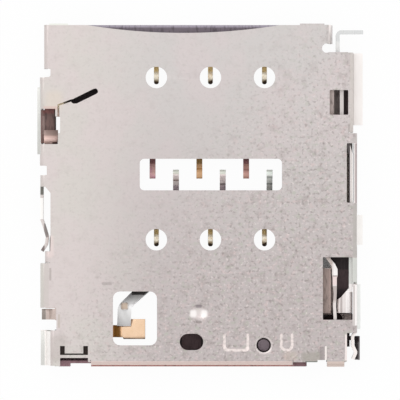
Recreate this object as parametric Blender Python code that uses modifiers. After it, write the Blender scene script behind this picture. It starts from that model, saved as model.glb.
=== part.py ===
"""A sim card socket for a phone's board: a folded steel cover over a moulded frame, with six sim contacts,
eight memory card contacts, a detect switch, a tray latch and a push rod that turns an eject lever.

The socket is drawn at one unit to the millimetre, because its sheet is only 0.15 mm thick. The empty that
carries every piece brings the drawing to metres. +Y is the tray's mouth and +Z points away from the board.
"""

import math

import bmesh
import bpy
from mathutils import Vector

NAME = "sim_card_socket"
MILLIMETRE = 0.001

# Heights above the board, in millimetres
HEIGHT = 1.40
SHEET = 0.15
FLOOR = 0.45
SEAT_GAP = 0.02
COVER_UNDER = HEIGHT - SHEET
LEVER_THICK = 0.20
LEVER_GAP = 0.02
LEVER_BOTTOM = FLOOR + LEVER_GAP
COVER_MIDDLE = HEIGHT - SHEET / 2
BEND_RADIUS = 0.15
BEND = BEND_RADIUS + SHEET / 2
BEND_RELIEF = 0.02
FLAT_END = BEND + BEND_RELIEF
ARC_STEPS = 4
WALL_FOOT = 0.18
FOOT_MIDDLE = SHEET / 2

# Cover, front and rear edges along Y
FRONT_EDGE = 7.99
FRONT_TABS = 8.06
LEFT_TAB_END = -6.20
RIGHT_TAB_START = 4.69
ARC_CENTRE_X = -0.775
ARC_HALF_CHORD = 4.535
ARC_DEPTH = 0.37
REAR_LIP = -7.97
REAR_LIP_DROP = 0.40
REAR_LIP_X = (-5.14, 4.38)
REAR_STEP = -7.84
REAR_STEP_X = 5.52
REAR_GAP = -7.74
REAR_TAB = -8.06
REAR_TAB_X = (5.95, 6.80)

# Cover, left side: outer faces along X and where they change along Y
LEFT_FRONT = -7.32
LEFT_BROAD = -7.52
LEFT_MIDDLE = -7.50
LEFT_NARROW = -7.28
LEFT_REAR = -7.03
LEFT_REAR_SPLAY = 0.25
LEFT_FRONT_Y = (5.92, 8.02)
LEFT_BROAD_Y = (1.37, 5.55)
LEFT_MIDDLE_Y = (0.38, 0.96)
LEFT_NARROW_Y = (-3.18, -2.62)
LEFT_LOW_Y = (-5.30, -3.18)
LEFT_TAB_Y = (-5.86, -5.32)
LEFT_REAR_Y = (-8.03, -6.33)
NOTCH_FRONT = -7.02
NOTCH_CORNER = 0.11
NOTCH_MIDDLE = -7.19
NOTCH_REAR = -6.74
NOTCH_REAR_Y = -5.88
LEAF_MOUTH = -7.02
LEAF_MOUTH_Y = (-2.10, 0.10)
TAB_ROOT = -6.81
TAB_DROP = 0.25
TAB_SLOPE = 0.24
TAB_END = -7.43

# Cover, right side
RIGHT_FRONT = 6.24
RIGHT_FRONT_SPLAY = 0.15
RIGHT_SHOULDER = 7.20
RIGHT_BROAD = 7.38
RIGHT_REAR = 6.90
RIGHT_FRONT_Y = (7.10, 8.02)
RIGHT_SHOULDER_Y = (2.93, 6.72)
RIGHT_BROAD_Y = (-6.47, 2.93)
BEND_SLIT = (7.19, 7.60, -4.16, -4.08)
RELIEF_AT = (5.94, 6.90)
RELIEF_RADIUS = 0.21
RELIEF_MARGIN = 0.08

# Solder feet: side (-1 left, 1 right), wall's outer face, foot's end along X, and its stretch along Y
FEET = (
    (-1, LEFT_BROAD, -7.665, (1.93, 5.08)),
    (1, RIGHT_SHOULDER, 7.665, (3.30, 6.68)),
    (1, RIGHT_BROAD, 7.665, (-2.34, -0.93)),
    (1, RIGHT_BROAD, 7.56, (-6.30, -4.20)),
)
LEFT_REAR_FOOT = -7.50

# Cover, openings
VIEW_HOLE_RADIUS = 0.505
MIDDLE_WINDOW = (-2.83, 3.85, 0.23, 1.71)
MIDDLE_WINDOW_CORNER = 0.20
SWITCH_WINDOW = (-4.09, -2.02, -7.05, -4.52)
SWITCH_WINDOW_CORNER = 0.33
STADIUM = (-0.40, -6.89)
STADIUM_SIZE = (1.11, 0.77)
ROD_WINDOW = (6.09, 6.96, 3.78, 4.94)
ROD_SLOT = (6.89, 7.24, -0.35, 2.44)
LATCH_WINDOW = (5.77, 7.16, -5.85, -2.91)
SPRING_WINDOW = (-7.60, -6.795, 2.40, 4.06)
SPRING_WINDOW_FOOT = 0.30
SPRING_BAY = -6.667
PLAIN_CORNER = 0.04
LANCE = (
    (-6.65, 3.62, 0.10),
    (-6.65, 4.235, 0.10),
    (-6.08, 4.44, 0.10),
    (-5.95, 4.41, 0.22),
    (-5.84, 4.43, 0.27),
    (-4.93, 4.876, 0.27),
    (-4.85, 4.915, 0.22),
    (-4.81, 4.935, 0.12),
)
TONGUE = (-6.57, -5.26, -7.50, -7.08)
TONGUE_LEG = 0.22
TONGUE_SLIT = 0.07
REAR_NOTCH = (-6.57, -5.26, -7.64, -8.10)

# Cover, pressed details
DIMPLE_AT = (-0.06, -5.58)
DIMPLE_RADIUS = 0.45
DIMPLE_DEPTH = 0.14
COIN_WIDTH = 0.13
COIN_DEPTH = 0.04
COINED_LINES = (((1.08, 2.31, -7.34, -6.49), 0.16), ((3.75, 4.39, -7.34, -6.49), 0.30))
PRESSED_PATCH = (4.60, 5.87, -7.74, -7.13)
PATCH_DEPTH = 0.025
BRAKE_LEAF = ((-7.43, -1.15), (-7.30, -1.50), (-7.17, -1.95), (-7.22, -2.30), (-7.42, -2.62))
CORNER_CURL = ((7.305, -6.42), (7.17, -6.64), (7.17, -7.06), (7.33, -7.38), (7.19, -7.70))
LEAF_FLOOR_GAP = 0.10
LEAF_TOP_GAP = 0.15
LEAF_Z = (FLOOR + LEAF_FLOOR_GAP, COVER_UNDER - LEAF_TOP_GAP)

# Frame
FRAME_GAP = 0.05
FRAME_FRONT = 8.01
FRAME_REAR = -8.05
LOW_WALL_GAP = 0.32
FRAME_LOW_TOP = COVER_UNDER - LOW_WALL_GAP
REAR_WALL_INNER = -7.77
REAR_WALL_END = REAR_STEP_X - 0.50
FRAME_NOTCH = (-6.10, -5.12, -7.90)
LEAF_RECESS = 0.60
RAIL_SETBACK = 0.20
TRAY_LEFT = -6.40
TRAY_RIGHT = 6.00
GUIDE_WALL = 0.30
GUIDE_END = -2.20
LEDGE = (5.72, 6.14, -5.55, -3.42)
FRAME_CHAMFER = 0.10
SIGHT_MARGIN = 0.12
EAR_UPRIGHT = (7.42, 7.51, -7.74, -6.63)
EAR_SOLE = 7.28
EAR_NECK = -6.82
EAR_CORNER = (7.04, -7.13, -6.40)
LATCH_BLOCK = (6.10, 6.62, -7.80, -7.36)
SIDE_SLIT = (-6.78, -6.57, 2.92, 3.70)
WALL_BOSS = (-7.50, -7.30)
WALL_BOSS_Z = (SPRING_WINDOW_FOOT + 0.04, FLOOR + 0.02)

# Contacts
STRIP = 0.10
POCKET_GAP = 0.02
CROWN_GAP = 0.22
CROWN_Z = COVER_UNDER - CROWN_GAP - STRIP / 2
CROWN_BEND = 0.22
ROOT_Z = STRIP / 2
SIM_COLUMNS = (-2.05, 0.49, 3.03)
SIM_ROWS = {"front": 5.53, "rear": -2.09}
SIM_WIDTH = 0.23
SIM_ROOT_WIDTH = 0.46
SIM_ROOT = {"front": 0.60, "rear": 0.32}
SIM_REACH = {"front": 1.42, "rear": 1.20}
SIM_TIP = 0.30
SIM_CROWN = 0.08
TIP_DROP = 0.20
TIP_STEPS = 4
MEMORY_COUNT = 8
MEMORY_PITCH = 1.10
MEMORY_CENTRE = 0.52
MEMORY_WIDTH = 0.28
MEMORY_ROOT = 0.35
MEMORY_FRONT_ROW = (2.55, 0.80)
MEMORY_REAR_ROW = (-0.02, 1.18)
MEMORY_TIP = 0.18

# Detect switch
PAD_Z = 0.36
PAD = (-3.27, -2.58, -6.77, -5.83)
PAD_FOOT = -3.62
PAD_NECK = (-6.69, -6.12)
PAD_BEND = (-4.02, -3.76)
PAD_ROOT = 0.50
PAD_STEP = 0.02
SWITCH_ROOT = 0.40
SWITCH_MARGIN = 0.14
SWITCH_ROOT_X = (-3.05, -2.30)
SWITCH_CROWN_Y = -5.22
SWITCH_CROWN_X = (-3.86, -3.22)
SWITCH_TIP_X = (-3.90, -3.26)
SWITCH_TIP_Y = -6.14
SWITCH_TIP_GAP = 0.04
BUTTON_RADIUS = 0.20
BUTTON_RISE = 0.12
BUTTON_STEPS = 10

# Side spring and tray latch
SIDE_SPRING_X = (-7.22, -6.74)
SIDE_HEAD_X = (-7.34, -6.68)
SIDE_HEAD_LAP = 0.01
SIDE_ROOT_Y = (1.00, 1.60)
SIDE_CROWN_Y = 2.62
SIDE_TIP_Y = 3.04
SIDE_TIP_LAP = 0.05
LATCH_THICKNESS = 0.15
LATCH_FOLD = 0.20
LATCH_NOSE = 0.27
LATCH_GAP = 0.09
LATCH_Z = (LEVER_BOTTOM + LEVER_THICK + LATCH_GAP, COVER_UNDER - LATCH_GAP)
LATCH_LINE = (
    (6.34, -7.66, LATCH_THICKNESS),
    (6.35, -5.80, LATCH_THICKNESS),
    (6.32, -5.20, LATCH_THICKNESS),
    (6.35, -4.60, LATCH_THICKNESS),
    (6.33, -4.20, LATCH_FOLD),
    (6.33, -3.88, LATCH_FOLD),
    (6.335, -3.80, LATCH_NOSE),
    (6.33, -3.50, LATCH_NOSE),
    (6.26, -3.28, LATCH_FOLD),
    (5.98, -2.92, LATCH_THICKNESS),
    (5.82, -2.62, LATCH_THICKNESS),
    (6.02, -2.36, LATCH_THICKNESS),
)

# Push rod and eject lever
ROD_SHEET = 0.18
ROD_BEND = 0.16
ROD_FLOOR_GAP = 0.05
ROD_TOP_GAP = 0.10
ROD_Z = (FLOOR + ROD_FLOOR_GAP, COVER_UNDER - ROD_TOP_GAP)
ROD_TRAVEL = 0.80
ROD_STOP_GAP = 0.05
ROD_HOOK_END = 7.665
ROD_HOOK_Y = RIGHT_SHOULDER_Y[1] + ROD_STOP_GAP + ROD_TRAVEL + ROD_SHEET / 2
ROD_FRONT_X = 6.475
ROD_MIDDLE_X = 6.66
ROD_REAR_X = 7.085
ROD_JOG_Y = (6.30, 5.60, 3.50, 1.90)
ROD_END = -5.53
FLAG_SHEET = 0.16
FLAG_STEP = 0.02
FLAG_LAP = 0.30
FLAG_BEND = 0.09
FLAG_INNER = 6.53
FLAG_FRONT = -4.25
FLAG_SHOULDER = -4.90
PIVOT = (2.99, -7.04)
PIVOT_RADIUS = 0.30
PIVOT_CLEARANCE = 0.03
PIVOT_HEAD_RADIUS = 0.55
PIVOT_CHAMFER = 0.05
PIVOT_STEPS = 24
PIVOT_HOLE_RADIUS = 0.34
COUNTERSINK = (0.45, 0.38, 0.05)
BOSS_RADIUS = 0.62
ROD_CONTACT_GAP = 0.04
TIP_RADIUS = 0.25
ARM_END_X = 6.45
ARM_HALF = 0.28
TAIL_TOP = -7.30
TAIL_BOTTOM = -7.68
TAIL_END = -1.80
NUB_RISE = 0.20
NUB_WIDTH = 0.40
LEVER_CORNER = 0.22


def linear(value):
    """One sRGB channel, 0 to 1, as linear light."""
    if value <= 0.04045:
        return value / 12.92
    return ((value + 0.055) / 1.055) ** 2.4


def finish(name, colour, metallic, roughness):
    """A Principled material in an sRGB hex colour."""
    material = bpy.data.materials.new(name)
    material.use_nodes = True
    shader = material.node_tree.nodes["Principled BSDF"]
    channels = [linear(int(colour[i : i + 2], 16) / 255) for i in (0, 2, 4)]
    shader.inputs["Base Color"].default_value = (*channels, 1)
    shader.inputs["Metallic"].default_value = metallic
    shader.inputs["Roughness"].default_value = roughness
    material.diffuse_color = (*channels, 1)
    return material


class Drawing:
    """The collections, the empty that carries the pieces, and the finishes."""

    def __init__(self):
        for old in list(bpy.data.objects):
            bpy.data.objects.remove(old)
        self.parts = bpy.data.collections.new(NAME)
        self.tools = bpy.data.collections.new("cutters")
        for collection in (self.parts, self.tools):
            bpy.context.scene.collection.children.link(collection)
        self.carrier = bpy.data.objects.new("millimetres", None)
        self.carrier.scale = (MILLIMETRE,) * 3
        self.parts.objects.link(self.carrier)
        self.finishes = {
            "cover_steel": finish("cover_steel", "cfc7c4", 0.9, 0.42),
            "frame_black": finish("frame_black", "2b2226", 0.0, 0.5),
            "contact_gold": finish("contact_gold", "c9a24a", 1.0, 0.3),
            "memory_bronze": finish("memory_bronze", "b8868c", 1.0, 0.32),
            "switch_gold": finish("switch_gold", "f2cda6", 1.0, 0.3),
            "spring_steel": finish("spring_steel", "c9c5c1", 1.0, 0.3),
            "lever_steel": finish("lever_steel", "8f8a8c", 1.0, 0.38),
        }

    def piece(self, obj, slot):
        """Takes an object as a named piece of the socket."""
        obj.data.materials.clear()
        obj.data.materials.append(self.finishes[slot])
        obj.parent = self.carrier
        return obj

    def tool(self, obj):
        """Takes an object as a cutter or a shape to be joined on."""
        self.parts.objects.unlink(obj)
        self.tools.objects.link(obj)
        obj.parent = self.carrier
        obj.hide_render = True
        obj.display_type = "WIRE"
        return obj

    def combine(self, obj, tool, operation, solver="EXACT"):
        """Joins a tool to an object (UNION) or cuts it away (DIFFERENCE)."""
        modifier = obj.modifiers.new(tool.name, "BOOLEAN")
        modifier.operation = operation
        modifier.solver = solver
        modifier.object = self.tool(tool)


def rounded(points, radius, closed=False):
    """The points with each corner turned into an arc. Values after x and y are carried along."""
    corners = [Vector(p) for p in points]
    result = []
    for i, corner in enumerate(corners):
        if not closed and i in (0, len(corners) - 1):
            result.append(corner)
            continue
        back = corners[i - 1] - corner
        ahead = corners[(i + 1) % len(corners)] - corner
        opening = back.to_2d().angle(ahead.to_2d())
        if opening > math.radians(179):
            result.append(corner)
            continue
        back_length = back.to_2d().length
        ahead_length = ahead.to_2d().length
        reach = min(radius / math.tan(opening / 2), 0.45 * back_length, 0.45 * ahead_length)
        start = corner + back * (reach / back_length)
        end = corner + ahead * (reach / ahead_length)
        weight = math.sin(opening / 2)
        for step in range(ARC_STEPS + 1):
            t = step / ARC_STEPS
            shares = ((1 - t) ** 2, 2 * t * (1 - t) * weight, t**2)
            point = start * shares[0] + corner * shares[1] + end * shares[2]
            result.append(point / sum(shares))
    return result


def rectangle(x0, x1, y0, y1, corner=0.0):
    """A rectangle's outline, with round corners if it has a corner radius."""
    points = [(x0, y0), (x1, y0), (x1, y1), (x0, y1)]
    return rounded(points, corner, closed=True) if corner else points


def circle(centre, radius, steps=32):
    """A round outline."""
    turns = [2 * math.pi * i / steps for i in range(steps)]
    return [(centre[0] + radius * math.cos(a), centre[1] + radius * math.sin(a)) for a in turns]


def stadium(centre, size):
    """A slot's outline, longer along X, with round ends."""
    half = size[0] / 2
    radius = size[1] / 2
    turns = [math.pi * (i / 12 - 0.5) for i in range(13)]
    right = [(centre[0] + half - radius + radius * math.cos(a), centre[1] + radius * math.sin(a)) for a in turns]
    left = [(2 * centre[0] - x, 2 * centre[1] - y) for x, y in right]
    return right + left


def stroke(line):
    """The outline of a line of (x, y, width) points."""
    sides = ([], [])
    for i, (x, y, width) in enumerate(line):
        before = Vector(line[max(i - 1, 0)][:2])
        after = Vector(line[min(i + 1, len(line) - 1)][:2])
        along = (after - before).normalized()
        across = Vector((-along.y, along.x)) * width / 2
        sides[0].append((x + across.x, y + across.y))
        sides[1].append((x - across.x, y - across.y))
    return sides[0] + sides[1][::-1]


def slab(drawing, name, outlines, bottom, top):
    """Flat outlines given a thickness. An outline inside another one is a hole."""
    curve = bpy.data.curves.new(name, "CURVE")
    curve.dimensions = "2D"
    curve.fill_mode = "BOTH"
    curve.extrude = (top - bottom) / 2
    for outline in outlines:
        spline = curve.splines.new("POLY")
        spline.points.add(len(outline) - 1)
        for point, place in zip(spline.points, outline):
            point.co = (place[0], place[1], 0, 1)
        spline.use_cyclic_u = True
    sketch = bpy.data.objects.new(name, curve)
    drawing.parts.objects.link(sketch)
    seen = sketch.evaluated_get(bpy.context.evaluated_depsgraph_get())
    mesh = bpy.data.meshes.new_from_object(seen)
    bpy.data.objects.remove(sketch)
    bpy.data.curves.remove(curve)
    shape = bmesh.new()
    shape.from_mesh(mesh)
    bmesh.ops.remove_doubles(shape, verts=shape.verts, dist=0.0001)
    bmesh.ops.translate(shape, verts=shape.verts, vec=(0, 0, (bottom + top) / 2))
    bmesh.ops.recalc_face_normals(shape, faces=shape.faces)
    shape.to_mesh(mesh)
    shape.free()
    obj = bpy.data.objects.new(name, mesh)
    drawing.parts.objects.link(obj)
    return obj


def spread(path, low, high):
    """A path of (u, v) points as (u, v, low, high) points of one width."""
    return [(u, v, low, high) for u, v in path]


def strips(drawing, name, runs, thickness, bend=BEND_RADIUS):
    """Bent strips of sheet. A run is an axis, X, Y or Z, which the strip's width lies along, and a path of
    (u, v, low, high) points: u and v are the other two axes in order, low and high the strip's edges."""
    shape = bmesh.new()
    for axis, path in runs:
        place = "XYZ".index(axis)
        last = None
        for point in rounded(path, bend):
            pair = []
            for edge in (point[2], point[3]):
                spot = [point[0], point[1]]
                spot.insert(place, edge)
                pair.append(shape.verts.new(spot))
            if last:
                shape.faces.new((last[0], last[1], pair[1], pair[0]))
            last = pair
    mesh = bpy.data.meshes.new(name)
    shape.to_mesh(mesh)
    shape.free()
    obj = bpy.data.objects.new(name, mesh)
    drawing.parts.objects.link(obj)
    sheet = obj.modifiers.new("sheet", "SOLIDIFY")
    sheet.thickness = thickness
    sheet.offset = 0
    sheet.use_even_offset = True
    return obj


def turned(drawing, name, profile, centre, steps=32):
    """A turned shape from (radius, z) points that run down its outer side."""
    mesh = bpy.data.meshes.new(name)
    edges = [(i, i + 1) for i in range(len(profile) - 1)]
    mesh.from_pydata([(radius, 0, z) for radius, z in profile], edges, [])
    obj = bpy.data.objects.new(name, mesh)
    drawing.parts.objects.link(obj)
    obj.location = (centre[0], centre[1], 0)
    screw = obj.modifiers.new("turned", "SCREW")
    screw.steps = steps
    screw.render_steps = steps
    screw.use_merge_vertices = True
    screw.merge_threshold = 0.0001
    return obj


def move_origin(obj, place):
    """Puts an object's origin at a place and leaves its shape where it is."""
    for vertex in obj.data.vertices:
        vertex.co -= Vector(place)
    obj.location = place


def front_arc():
    """The shallow arc in the cover's front edge, from left to right."""
    radius = (ARC_HALF_CHORD**2 + ARC_DEPTH**2) / (2 * ARC_DEPTH)
    sweep = math.asin(ARC_HALF_CHORD / radius)
    centre_y = FRONT_EDGE - ARC_DEPTH + radius
    turns = [sweep * (i / 12 - 1) for i in range(25)]
    return [(ARC_CENTRE_X + radius * math.sin(a), centre_y - radius * math.cos(a)) for a in turns]


def cover_outline():
    """The cover's flat top, up to the lines where its walls start to bend."""
    left_rear = LEFT_REAR + FLAT_END
    front = [(LEFT_FRONT + FLAT_END, FRONT_TABS), (LEFT_TAB_END, FRONT_TABS), (LEFT_TAB_END, FRONT_EDGE)]
    front += front_arc()
    front += [(RIGHT_TAB_START, FRONT_EDGE), (RIGHT_TAB_START, FRONT_TABS)]
    right = [
        (RIGHT_FRONT - RIGHT_FRONT_SPLAY - FLAT_END, FRONT_TABS),
        (RIGHT_FRONT - RIGHT_FRONT_SPLAY - FLAT_END, RIGHT_SHOULDER_Y[1]),
        (RIGHT_SHOULDER - FLAT_END, RIGHT_SHOULDER_Y[1]),
        (RIGHT_SHOULDER - FLAT_END, RIGHT_SHOULDER_Y[0]),
        (RIGHT_BROAD - FLAT_END, RIGHT_BROAD_Y[1]),
        (RIGHT_BROAD - FLAT_END, RIGHT_BROAD_Y[0]),
        (RIGHT_REAR, RIGHT_BROAD_Y[0]),
    ]
    rear = [
        (RIGHT_REAR, REAR_TAB + FLAT_END),
        (REAR_TAB_X[0], REAR_TAB + FLAT_END),
        (REAR_TAB_X[0], REAR_GAP),
        (REAR_STEP_X, REAR_GAP),
        (REAR_STEP_X, REAR_STEP),
        (REAR_LIP_X[1], REAR_STEP),
        (REAR_LIP_X[1], REAR_LIP + FLAT_END),
        (REAR_LIP_X[0], REAR_LIP + FLAT_END),
        (REAR_LIP_X[0], REAR_STEP),
        (REAR_NOTCH[1], REAR_STEP),
        (REAR_NOTCH[1], REAR_NOTCH[2]),
        (REAR_NOTCH[0], REAR_NOTCH[2]),
        (REAR_NOTCH[0], LEFT_REAR_Y[0]),
    ]
    left = [
        (left_rear, LEFT_REAR_Y[0]),
        (left_rear, LEFT_REAR_Y[1]),
        (NOTCH_REAR, LEFT_REAR_Y[1]),
        (NOTCH_REAR, NOTCH_REAR_Y),
        (TAB_ROOT, LEFT_TAB_Y[0]),
        (TAB_ROOT, LEFT_LOW_Y[0]),
        (LEFT_MIDDLE + FLAT_END, LEFT_LOW_Y[0]),
        (LEFT_MIDDLE + FLAT_END, LEFT_LOW_Y[1]),
        (LEFT_NARROW + FLAT_END, LEFT_LOW_Y[1]),
        (LEFT_NARROW + FLAT_END, LEFT_NARROW_Y[1]),
        (LEAF_MOUTH, LEAF_MOUTH_Y[0]),
        (LEAF_MOUTH, LEAF_MOUTH_Y[1]),
        (LEFT_MIDDLE + FLAT_END, LEFT_MIDDLE_Y[0]),
        (LEFT_MIDDLE + FLAT_END, LEFT_MIDDLE_Y[1]),
        (NOTCH_MIDDLE, LEFT_MIDDLE_Y[1]),
        (NOTCH_MIDDLE, LEFT_BROAD_Y[0]),
        (LEFT_BROAD + FLAT_END, LEFT_BROAD_Y[0]),
    ]
    notch = [
        (LEFT_BROAD + FLAT_END, LEFT_BROAD_Y[1]),
        (NOTCH_FRONT, LEFT_BROAD_Y[1]),
        (NOTCH_FRONT, LEFT_FRONT_Y[0]),
        (LEFT_FRONT + FLAT_END, LEFT_FRONT_Y[0]),
    ]
    return front + right + rear + left + rounded(notch, NOTCH_CORNER)


def relieved(path, stretch):
    """A wall's path with its edges a little short of the notches in the flat top beside it."""
    return spread(path, stretch[0] + BEND_RELIEF, stretch[1] - BEND_RELIEF)


def side_wall(side, outer, stretch):
    """One folded side wall: the run starts in the flat top and ends just above the board."""
    middle = outer - side * SHEET / 2
    path = [(outer - side * 2 * BEND, COVER_MIDDLE), (middle, COVER_MIDDLE), (middle, WALL_FOOT)]
    return ("Y", relieved(path, stretch))


def cover_walls(drawing):
    """Every wall that folds down from the flat top."""
    runs = [
        side_wall(-1, LEFT_FRONT, LEFT_FRONT_Y),
        side_wall(-1, LEFT_BROAD, LEFT_BROAD_Y),
        side_wall(-1, LEFT_MIDDLE, LEFT_MIDDLE_Y),
        side_wall(-1, LEFT_NARROW, LEFT_NARROW_Y),
        side_wall(-1, LEFT_MIDDLE, LEFT_LOW_Y),
        side_wall(1, RIGHT_SHOULDER, RIGHT_SHOULDER_Y),
        side_wall(1, RIGHT_BROAD, RIGHT_BROAD_Y),
    ]
    tab = [
        (TAB_ROOT + BEND, COVER_MIDDLE),
        (TAB_ROOT - SHEET / 2, COVER_MIDDLE),
        (TAB_ROOT - TAB_SLOPE, COVER_MIDDLE - TAB_DROP),
        (TAB_END, COVER_MIDDLE - TAB_DROP),
    ]
    runs.append(("Y", relieved(tab, LEFT_TAB_Y)))
    splayed = [
        (LEFT_REAR + 2 * BEND, COVER_MIDDLE),
        (LEFT_REAR + SHEET / 2, COVER_MIDDLE),
        (LEFT_REAR - LEFT_REAR_SPLAY + SHEET / 2, FOOT_MIDDLE),
        (LEFT_REAR_FOOT, FOOT_MIDDLE),
    ]
    runs.append(("Y", relieved(splayed, LEFT_REAR_Y)))
    corner = RIGHT_FRONT - RIGHT_FRONT_SPLAY
    leaning = [
        (corner - 2 * BEND, COVER_MIDDLE),
        (corner - SHEET / 2, COVER_MIDDLE),
        (RIGHT_FRONT - SHEET / 2, WALL_FOOT),
    ]
    runs.append(("Y", relieved(leaning, RIGHT_FRONT_Y)))
    lip = REAR_LIP + SHEET / 2
    lip_path = [(REAR_LIP + 2 * BEND, COVER_MIDDLE), (lip, COVER_MIDDLE), (lip, HEIGHT - REAR_LIP_DROP)]
    runs.append(("X", relieved(lip_path, REAR_LIP_X)))
    tab_y = REAR_TAB + SHEET / 2
    tab_path = [(REAR_TAB + 2 * BEND, COVER_MIDDLE), (tab_y, COVER_MIDDLE), (tab_y, WALL_FOOT)]
    runs.append(("X", relieved(tab_path, REAR_TAB_X)))
    return strips(drawing, "cover_walls", runs, SHEET)


def cover_feet(drawing):
    """The solder feet, turned out from the foot of the side walls."""
    runs = []
    for side, wall, end, stretch in FEET:
        middle = wall - side * SHEET / 2
        path = [(middle, WALL_FOOT + 2 * BEND), (middle, FOOT_MIDDLE), (end, FOOT_MIDDLE)]
        runs.append(("Y", spread(path, *stretch)))
    return strips(drawing, "cover_feet", runs, SHEET, BEND_RADIUS / 2)


def cover_leaves(drawing):
    """The two leaves that stand on edge: the tray's brake on the left and the curl at the rear right."""
    left = LEFT_MIDDLE + SHEET / 2
    right = RIGHT_BROAD - SHEET / 2
    brake = [(left, LEFT_MIDDLE_Y[0] + SHEET), *BRAKE_LEAF]
    curl = [(right, RIGHT_BROAD_Y[0] + 2 * SHEET), *CORNER_CURL]
    runs = [("Z", spread(brake, *LEAF_Z)), ("Z", spread(curl, *LEAF_Z))]
    return strips(drawing, "cover_leaves", runs, SHEET)


def u_line(box, corner):
    """A coined line round three sides of a box, open at its front, with round corners."""
    x0, x1, y0, y1 = box
    width = COIN_WIDTH
    line = [
        (x0, y1),
        (x0, y0),
        (x1, y0),
        (x1, y1),
        (x1 - width, y1),
        (x1 - width, y0 + width),
        (x0 + width, y0 + width),
        (x0 + width, y1),
    ]
    return rounded(line, corner, closed=True)


def tongue_cut():
    """The U that frees the tongue at the rear left: two broad legs and a thin slit."""
    x0, x1, y0, y1 = TONGUE
    return [
        (x0, y1),
        (x0, y0),
        (x1, y0),
        (x1, y1),
        (x1 - TONGUE_LEG, y1),
        (x1 - TONGUE_LEG, y0 + TONGUE_SLIT),
        (x0 + TONGUE_LEG, y0 + TONGUE_SLIT),
        (x0 + TONGUE_LEG, y1),
    ]


def dimple_profile(radius, depth, level, top):
    """A ball's lower part, as (radius, z) points down its outer side. It has the radius at the level, and
    reaches below it by the depth and up to the top."""
    ball = (radius**2 + depth**2) / (2 * depth)
    centre = level - depth + ball
    sweep = math.acos((centre - top) / ball)
    turns = [sweep * (1 - i / 6) for i in range(7)]
    return [(0, top)] + [(ball * math.sin(a), centre - ball * math.cos(a)) for a in turns]


def spring_window():
    """The left window: it runs over the bend into the wall, and has a bay for the spring's head and a sight
    slit on its right."""
    x0, x1, y0, y1 = SPRING_WINDOW
    slit_x = SIDE_SLIT[1]
    return [
        (x0, y0),
        (SPRING_BAY, y0),
        (SPRING_BAY, SIDE_SLIT[2]),
        (slit_x, SIDE_SLIT[2]),
        (slit_x, SIDE_SLIT[3]),
        (x1, SIDE_SLIT[3]),
        (x1, y1),
        (x0, y1),
    ]


def shell_cover(drawing):
    """The folded cover: one sheet with its walls, feet, leaves, openings and pressed details."""
    holes = [circle((x, y), VIEW_HOLE_RADIUS) for y in SIM_ROWS.values() for x in SIM_COLUMNS]
    holes += [
        circle(PIVOT, PIVOT_HOLE_RADIUS),
        circle(RELIEF_AT, RELIEF_RADIUS),
        stadium(STADIUM, STADIUM_SIZE),
        rectangle(*MIDDLE_WINDOW, MIDDLE_WINDOW_CORNER),
        rectangle(*SWITCH_WINDOW, SWITCH_WINDOW_CORNER),
        rectangle(*ROD_WINDOW, PLAIN_CORNER),
        rectangle(*ROD_SLOT, PLAIN_CORNER),
        rectangle(*LATCH_WINDOW, PLAIN_CORNER),
        rectangle(*BEND_SLIT),
        tongue_cut(),
    ]
    above = HEIGHT + SHEET
    through = (COVER_UNDER - BEND, above)
    lines = [u_line(box, corner) for box, corner in COINED_LINES]
    patch = [rectangle(*PRESSED_PATCH)]
    bulge = dimple_profile(DIMPLE_RADIUS + SHEET / 2, DIMPLE_DEPTH, COVER_UNDER, COVER_MIDDLE)
    bowl = dimple_profile(DIMPLE_RADIUS, DIMPLE_DEPTH, HEIGHT, HEIGHT + SHEET / 3)
    wide, narrow, sink = COUNTERSINK
    cone = [(0, above), (wide, above), (wide, HEIGHT), (narrow, HEIGHT - sink), (0, HEIGHT - sink)]
    cover = slab(drawing, "shell_cover", [cover_outline()], COVER_UNDER, HEIGHT)
    steps = [
        (cover_walls(drawing), "UNION"),
        (cover_feet(drawing), "UNION"),
        (cover_leaves(drawing), "UNION"),
        (turned(drawing, "dimple_bulge", bulge, DIMPLE_AT), "UNION"),
        (turned(drawing, "dimple_bowl", bowl, DIMPLE_AT), "DIFFERENCE"),
        (slab(drawing, "cover_windows", holes, *through), "DIFFERENCE"),
        (slab(drawing, "spring_window", [spring_window()], SPRING_WINDOW_FOOT, above), "DIFFERENCE"),
        (slab(drawing, "cover_lance", [stroke(LANCE)], *through), "DIFFERENCE"),
        (slab(drawing, "coined_lines", lines, HEIGHT - COIN_DEPTH, above), "DIFFERENCE"),
        (slab(drawing, "pressed_patch", patch, HEIGHT - PATCH_DEPTH, above), "DIFFERENCE"),
        (turned(drawing, "pivot_countersink", cone, PIVOT), "DIFFERENCE"),
    ]
    for tool, operation in steps:
        drawing.combine(cover, tool, operation, "MANIFOLD")
    return drawing.piece(cover, "cover_steel")


def notched_rear():
    """The notch in the frame's rear edge beside the tongue, from right to left."""
    x0, x1, y = FRAME_NOTCH
    return [(x1, FRAME_REAR), (x1, y), (x0, y), (x0, FRAME_REAR)]


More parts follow.
